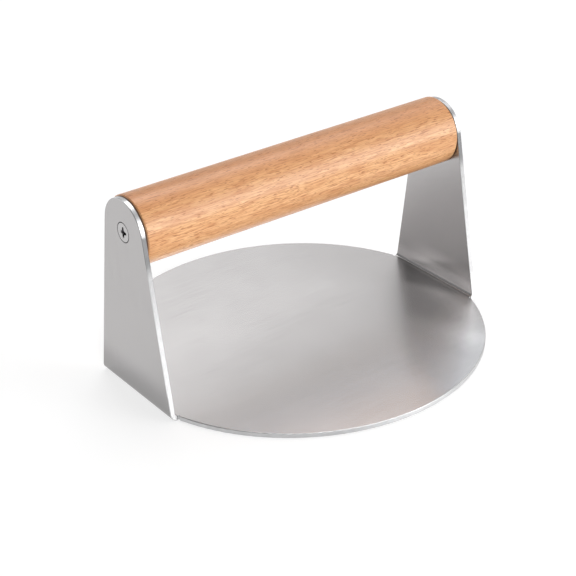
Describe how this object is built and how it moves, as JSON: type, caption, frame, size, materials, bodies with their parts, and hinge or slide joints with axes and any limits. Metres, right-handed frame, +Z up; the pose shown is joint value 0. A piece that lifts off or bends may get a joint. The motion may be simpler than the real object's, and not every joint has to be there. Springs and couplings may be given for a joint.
{
  "type": "patty press",
  "caption": "Round sheet-steel plate with two ears bent up at opposite sides and a wooden dowel handle screwed between them.",
  "frame": {"origin": "centre of the plate's underside, the pressing face, which is also the bottom centre of the whole object", "axes": "+Z up, square to the plate, from the pressing face to the handle; +X along the handle from the left ear to the right ear; +Y across the handle, away from the side that a user faces"},
  "size_m": [0.138, 0.14, 0.076],
  "materials": {
    "plate_steel": "fine brushed stainless sheet",
    "handle_wood": "smooth oiled beech",
    "screw_steel": "plain stainless screw"
  },
  "bodies": {
    "root": {"press_plate": "plate_steel", "handle_grip": "handle_wood", "screw_left": "screw_steel", "screw_right": "screw_steel"}
  },
  "joints": []
}
